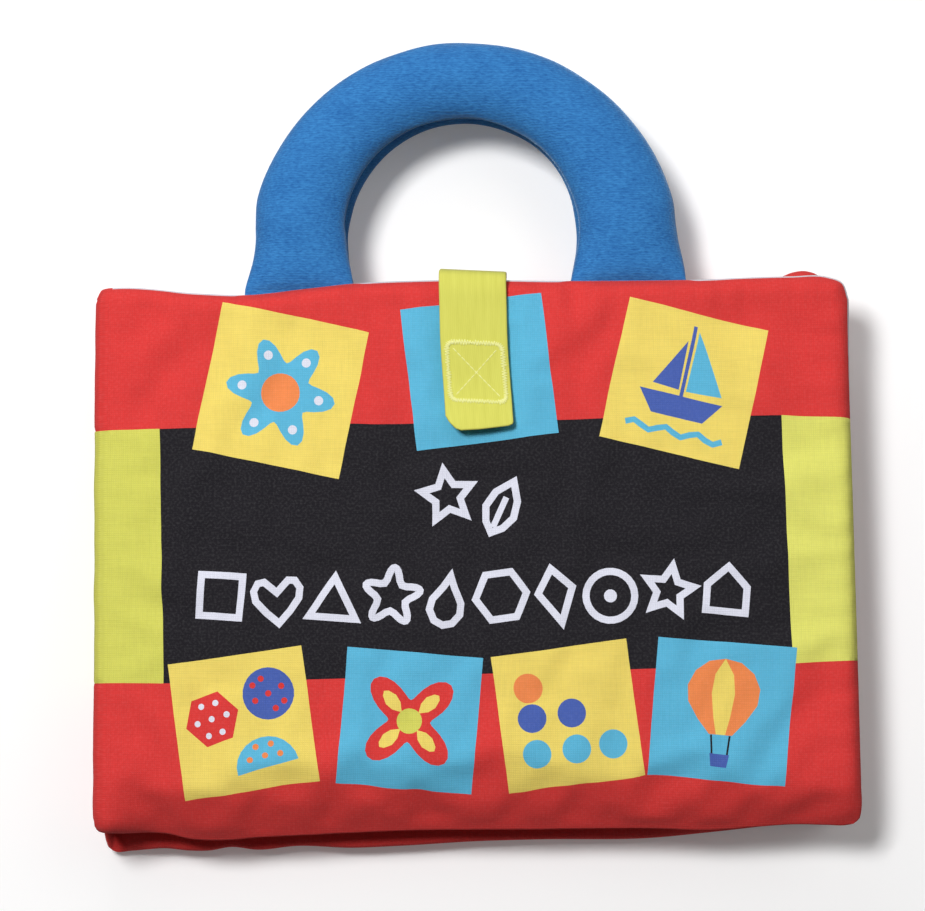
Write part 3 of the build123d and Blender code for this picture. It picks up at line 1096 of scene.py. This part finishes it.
def handle_piece(name, node, lean, droop, seed):
    """A stuffed handle as a closed tube of soft, slightly uneven sections."""
    low, high = (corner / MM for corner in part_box(node))
    arch_z = (low.z + high.z) / 2
    seam_z = FRONT_SEAM if node == "front_handle" else BACK_SEAM
    legs = [
        [
            (outer, TOP_SEAM + height, inner, TOP_SEAM + height, size, rise, 0)
            for height, outer, inner, size, rise in zip(*leg, LEG_THICKNESS, LEG_RISE)
        ]
        for leg in ((RIGHT_HEIGHTS, LEG_RIGHT, LEG_RIGHT_INNER), (LEFT_HEIGHTS, LEG_LEFT, LEG_LEFT_INNER))
    ]
    arch = []
    for angle in np.radians(ARCH_ANGLES):
        c, s = math.cos(angle), math.sin(angle)
        outer = (OUTER_X + OUTER_RADIUS * c, OUTER_Y + OUTER_RADIUS * s)
        inner = (INNER_X + INNER_RADIUS * c, INNER_Y + INNER_RADIUS * s)
        arch.append((*outer, *inner, HANDLE_THICKNESS, 1, s))
    stations = run_through(np.array(legs[0] + arch + legs[1][::-1]), STATION_STEP)
    turn = np.linspace(0, 2 * np.pi, RING_POINTS, endpoint=False)
    across = np.cos(turn)
    up = np.sign(np.sin(turn)) * np.abs(np.sin(turn)) ** 1.1
    points = []
    for station in stations:
        outer, inner, (thickness, rise, bow) = np.split(station, (2, 4))
        reach = (outer - inner) / 2
        middle = (outer + inner) / 2
        z = seam_z + (arch_z - seam_z) * rise - droop * bow
        middle = middle + np.array(lean) * ramp(middle[1], TOP_SEAM + 10, TOP_SEAM + 60)
        xy = middle + across[:, None] * reach
        lumps = wobble(xy[:, 0] + 40 * up, xy[:, 1], size=16, seed=seed)
        uneven = 1 + HANDLE_UNEVEN * rise * lumps
        xy = middle + (uneven * across)[:, None] * reach
        points.append(np.column_stack([xy, z + uneven * up * thickness / 2]))
    points = np.concatenate(points)
    last = len(points) - RING_POINTS
    faces = []
    for first in range(0, last, RING_POINTS):
        for k in range(RING_POINTS):
            here, beside = first + k, first + (k + 1) % RING_POINTS
            faces.append((here, beside, beside + RING_POINTS, here + RING_POINTS))
    faces.append(tuple(range(RING_POINTS))[::-1])
    faces.append(tuple(range(last, len(points))))
    mesh = bpy.data.meshes.new(name)
    mesh.from_pydata((points * MM).tolist(), [], faces)
    mesh.shade_smooth()
    mesh.materials.append(velour)
    obj = new_object(name, mesh)
    shape = bmesh.new()
    shape.from_mesh(mesh)
    bmesh.ops.recalc_face_normals(shape, faces=shape.faces)
    shape.to_mesh(mesh)
    shape.free()
    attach(obj, "front" if node == "front_handle" else "back")
    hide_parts(node)


handle_piece("front_handle_velour", "front_handle", lean=(0, 0), droop=1.5, seed=1.3)
handle_piece("back_handle_velour", "back_handle", lean=(1.4, 3.3), droop=0.5, seed=2.6)


# Closing strap: from the back cover's top seam, up past the edges and over the front cover to a lifted tail
STRAP_WIDTH = 25.0
STRAP_HALF = 0.5
STRAP_SKEW = -0.045
STRAP_PATH = [
    (49, 6.5), (56, 6.5), (60.5, 9), (61.6, 14), (61, 30), (60.4, 42), (58.6, 46.9), (54, 48.5), (46, 48.4),
    (34, 48.1), (14, 48.1), (8, 49.3), (-0.6, 52.8),
]
STRAP_CENTRE = [0.4, 0.4, 0.3, 0.2, 0, -0.2, -0.4, -0.4, -0.2, 0.1, 1.5, 1.9, 2.4]
strap_line = run_through(np.column_stack([STRAP_PATH, STRAP_CENTRE]), 0.5)
strap_at = np.concatenate([[0], np.cumsum(np.linalg.norm(np.diff(strap_line[:, :2], axis=0), axis=1))])
STRAP_LENGTH = strap_at[-1]


def strap_place(flat, lift):
    """A point of the strap, from its place across and along the ribbon, lifted off its middle."""
    y, z, x = (np.interp(flat[:, 1], strap_at, strap_line[:, k]) for k in range(3))
    slope = np.gradient(strap_line[:, :2], strap_at, axis=0)
    run_y, run_z = (np.interp(flat[:, 1], strap_at, slope[:, k]) for k in range(2))
    return np.stack([x + flat[:, 0], y + STRAP_SKEW * flat[:, 0] + lift * run_z, z - lift * run_y], axis=1)


# The strap's tail is slanted, with uneven corners: places across the ribbon and back from its end
STRAP_SPACING = 2.0
half = STRAP_WIDTH / 2
TAIL = [
    (-half, 6), (-half + 1.2, 3.4), (-half + 3.4, 0.8), (-half + 5.4, 0), (0, 0.8), (half - 2, 2.8),
    (half - 0.4, 3.6), (half, 4.8),
]
strap_corners = [(-half, 0), *[(x, STRAP_LENGTH - short) for x, short in TAIL], (half, 0)]
strap_outline = split(np.array(strap_corners), STRAP_SPACING)
strap_loop = np.concatenate([strap_outline, strap_outline[:1]])


def lay_strap(flat, side):
    """Lays the strap's upper or lower face along its path, with rounded edges."""
    lift = side * STRAP_HALF * rim(gap_to(flat, strap_loop), width=0.7)
    return strap_place(flat, lift)


strap_sheets = pad_sheets(strap_outline, (0.3, 0.8), LIME, STRAP_SPACING)
strap = cloth_object("strap_ribbon", [cloth_pad(strap_sheets, lay_strap)], ribbon)


def fold_down(obj):
    """Attaches a piece of the strap to the back cover, with a mesh of its own."""
    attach(obj, "back")
    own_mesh(obj)


fold_down(strap)
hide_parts("closure_strap")

# Hook tape under the strap, and loop tape under it on the cover
TAPE_CORNER = 2.0
TAPE_SPACING = 2.5


def tape_piece(name, node, trim):
    """A piece of tape with rounded corners and edges, smaller than its CAD node by a trim all round."""
    low, high = (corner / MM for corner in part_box(node))
    box = rounded_box((low.x + trim, low.y + trim), (high.x - trim, high.y - trim), TAPE_CORNER, 4)
    outline = split(box, TAPE_SPACING)[::-1]
    loop = np.concatenate([outline, outline[:1]])

    def lay(flat, side):
        height = (high.z - low.z) / 2 * rim(gap_to(flat, loop), width=0.8)
        return np.column_stack([flat, (low.z + high.z) / 2 + side * height])

    sheets = pad_sheets(outline, (0.3, 0.9), LIME, TAPE_SPACING)
    piece = cloth_object(name, [cloth_pad(sheets, lay)], tape)
    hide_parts(node)
    return piece


loop_tape = tape_piece("loop_tape", "loop_patch", 1.6)
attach(loop_tape, "front")
hook_tape = tape_piece("hook_tape", "hook_patch", 0.0)
fold_down(hook_tape)

# Stitches: each edge of a line mesh becomes one rounded stitch of thread
stitcher = bpy.data.node_groups.new("thread_stitches", "GeometryNodeTree")
stitcher.interface.new_socket("Geometry", in_out="INPUT", socket_type="NodeSocketGeometry")
radius_input = stitcher.interface.new_socket("Thread radius", in_out="INPUT", socket_type="NodeSocketFloat")
overlap_input = stitcher.interface.new_socket("Overlap", in_out="INPUT", socket_type="NodeSocketFloat")
material_input = stitcher.interface.new_socket("Material", in_out="INPUT", socket_type="NodeSocketMaterial")
stitcher.interface.new_socket("Geometry", in_out="OUTPUT", socket_type="NodeSocketGeometry")
given = add_node(stitcher, "NodeGroupInput")
ends = add_node(stitcher, "GeometryNodeInputMeshEdgeVertices")
run = add_node(
    stitcher,
    "ShaderNodeVectorMath",
    {0: ends.outputs["Position 2"], 1: ends.outputs["Position 1"]},
    operation="SUBTRACT",
)
kept_run = add_node(
    stitcher, "GeometryNodeCaptureAttribute", {"Geometry": given.outputs["Geometry"]}, domain="EDGE"
)
kept_run.capture_items.new("VECTOR", "Run")
stitcher.links.new(run.outputs["Vector"], kept_run.inputs["Run"])
middles = add_node(stitcher, "GeometryNodeMeshToPoints", {"Mesh": kept_run.outputs["Geometry"]}, mode="EDGES")
reach = add_node(stitcher, "ShaderNodeVectorMath", {0: kept_run.outputs["Run"]}, operation="LENGTH")
half_length = add_node(
    stitcher, "ShaderNodeMath", {0: reach.outputs["Value"], 1: given.outputs["Overlap"]}, operation="MULTIPLY"
)
size = add_node(
    stitcher,
    "ShaderNodeCombineXYZ",
    {
        "X": half_length.outputs["Value"],
        "Y": given.outputs["Thread radius"],
        "Z": given.outputs["Thread radius"],
    },
)
facing = add_node(
    stitcher, "FunctionNodeAlignRotationToVector", {"Vector": kept_run.outputs["Run"]}, axis="X"
)
stitch = add_node(stitcher, "GeometryNodeMeshUVSphere", {"Segments": 8, "Rings": 6, "Radius": 1.0})
placed = add_node(
    stitcher,
    "GeometryNodeInstanceOnPoints",
    {
        "Points": middles.outputs["Points"],
        "Instance": stitch.outputs["Mesh"],
        "Rotation": facing.outputs["Rotation"],
        "Scale": size.outputs["Vector"],
    },
)
real = add_node(stitcher, "GeometryNodeRealizeInstances", {"Geometry": placed.outputs["Instances"]})
rounded = add_node(stitcher, "GeometryNodeSetShadeSmooth", {"Geometry": real.outputs["Geometry"]})
sewn = add_node(
    stitcher,
    "GeometryNodeSetMaterial",
    {"Geometry": rounded.outputs["Geometry"], "Material": given.outputs["Material"]},
)
add_node(stitcher, "NodeGroupOutput", {"Geometry": sewn.outputs["Geometry"]})


def stitched(name, lines, radius, overlap):
    """Stitches along lines of points, one for each step, as a plain mesh."""
    points = [point for line in lines for point in line]
    edges = []
    first = 0
    for line in lines:
        edges += [(first + i, first + i + 1) for i in range(len(line) - 1)]
        first += len(line)
    path = bpy.data.meshes.new(name)
    path.from_pydata((np.array(points) * MM).tolist(), edges, [])
    drawn = new_object(name, path)
    modifier = drawn.modifiers.new("stitches", "NODES")
    modifier.node_group = stitcher
    modifier[radius_input.identifier] = radius * MM
    modifier[overlap_input.identifier] = overlap
    modifier[material_input.identifier] = thread
    shown = drawn.evaluated_get(bpy.context.evaluated_depsgraph_get())
    drawn.data = bpy.data.meshes.new_from_object(shown)
    drawn.modifiers.clear()
    return drawn


# Stitched box with a cross on the strap: a zigzag band of thread and two thin lines
BOX_LOW = STRAP_LENGTH - 34.2
BOX_HIGH = STRAP_LENGTH - 12.2
BOX_HALF = 10.3
BOX_SHIFT = 0.1
BOX_CORNER = 2.4
BAND_WIDTH = 1.9
BAND_UNEVEN = 0.45
ZIGZAG_STEP = 0.5
CROSS_STEP = 2.2
CROSS_CLEARANCE = 2.2
THREAD_RADIUS = 0.27
STITCH_OVERLAP = 0.54
box_low, box_high = (BOX_SHIFT - BOX_HALF, BOX_LOW), (BOX_SHIFT + BOX_HALF, BOX_HIGH)
box_path = split(rounded_box(box_low, box_high, BOX_CORNER, 6), ZIGZAG_STEP)
box_path = np.concatenate([box_path, box_path[:3]])
swing = np.where(np.arange(len(box_path)) % 2 == 0, 0.5, -0.5) * BAND_WIDTH
swing = swing * (1 + BAND_UNEVEN * wobble(box_path[:, 0], box_path[:, 1], size=1.1, seed=4.4))
zigzag = inset(box_path, swing[:, None])
box_middle = (BOX_LOW + BOX_HIGH) / 2
box_half_length = (BOX_HIGH - BOX_LOW) / 2
cross = []
for a in (1, -1):
    tip = np.array((a * (BOX_HALF - CROSS_CLEARANCE), box_half_length - CROSS_CLEARANCE))
    count = round(2 * np.linalg.norm(tip) / CROSS_STEP)
    cross.append(np.array((BOX_SHIFT, box_middle)) + np.linspace(-1, 1, count + 1)[:, None] * tip)
strap_thread = stitched(
    "strap_stitches",
    [strap_place(zigzag, STRAP_HALF + 0.1)] + [strap_place(line, STRAP_HALF - 0.08) for line in cross],
    THREAD_RADIUS,
    STITCH_OVERLAP,
)
fold_down(strap_thread)

# Floor, light and camera
FLOOR_SIZE = 6.0
floor_mesh = bpy.data.meshes.new("studio_floor")
reach = FLOOR_SIZE / 2
floor_corners = [(-reach, -reach, 0), (reach, -reach, 0), (reach, reach, 0), (-reach, reach, 0)]
floor_mesh.from_pydata(floor_corners, [], [(0, 1, 2, 3)])
floor = new_object("studio_floor", floor_mesh)

# White paper floor: a little brighter to the camera so that the background is white and keeps the shadow, and
# grey to other rays, so that little light comes back up from it
FLOOR_GLOW = 0.12
paper, tree, shader = new_material("white_paper", 0.9, 0.0)
shader.inputs["Base Color"].default_value = linear("#FAFAFA")
rays = add_node(tree, "ShaderNodeLightPath")
glow = add_node(tree, "ShaderNodeEmission", {"Strength": FLOOR_GLOW})
seen = add_node(tree, "ShaderNodeAddShader", {0: shader.outputs["BSDF"], 1: glow.outputs["Emission"]})
dull = add_node(tree, "ShaderNodeBsdfDiffuse", {"Color": linear("#C0C0C0")})
either = add_node(
    tree,
    "ShaderNodeMixShader",
    {0: rays.outputs["Is Camera Ray"], 1: dull.outputs["BSDF"], 2: seen.outputs["Shader"]},
)
tree.links.new(either.outputs["Shader"], tree.nodes["Material Output"].inputs["Surface"])
floor_mesh.materials.append(paper)

# Room light that is brighter from the handles' side, a softbox from the upper left and weak ones low behind
# the handles and at the right
ROOM_LIGHT = 0.11
ROOM_TURN = 0.1
world = bpy.data.worlds.new("studio")
world.use_nodes = True
tree = world.node_tree
place = add_node(tree, "ShaderNodeTexCoord").outputs["Object"]
side = add_node(tree, "ShaderNodeSeparateXYZ", {"Vector": place})
room = add_node(
    tree, "ShaderNodeMath", {0: side.outputs["Y"], 1: ROOM_TURN, 2: ROOM_LIGHT}, operation="MULTIPLY_ADD"
)
tree.links.new(room.outputs["Value"], tree.nodes["Background"].inputs["Strength"])
tree.nodes["Background"].inputs["Color"].default_value = (1, 1, 1, 1)
bpy.context.scene.world = world


def softbox(name, place, size, energy):
    """A square area light at a place, facing the book."""
    light = bpy.data.lights.new(name, "AREA")
    light.shape = "SQUARE"
    light.size = size
    light.energy = energy
    made = new_object(name, light)
    made.location = place
    made.rotation_euler = Vector(place).to_track_quat("Z", "Y").to_euler()


softbox("key_softbox", (-0.38, 0.27, 1.37), 0.3, 16.2)
softbox("top_softbox", (-0.1, 0.62, 0.4), 0.4, 0.8)
softbox("fill_softbox", (0.45, 0.25, 0.7), 0.5, 0.7)

# Camera as in the photo: nearly straight down, with the photo's width in pixels for the focal length
ELEVATION = math.radians(84)
CAMERA_DISTANCE = 1.1
PHOTO_WIDTH = 925
FOCAL_PIXELS = 2960
target = Vector((-4.1, -7.75, 36)) * MM
back_axis = Vector((0, -math.cos(ELEVATION), math.sin(ELEVATION)))
camera = bpy.data.cameras.new("camera")
camera.sensor_width = 36
camera.lens = camera.sensor_width * FOCAL_PIXELS / PHOTO_WIDTH
camera_object = new_object("camera", camera)
camera_object.location = target + back_axis * CAMERA_DISTANCE
camera_object.rotation_euler = back_axis.to_track_quat("Z", "Y").to_euler()
bpy.context.scene.camera = camera_object
bpy.context.scene.view_settings.view_transform = "Standard"
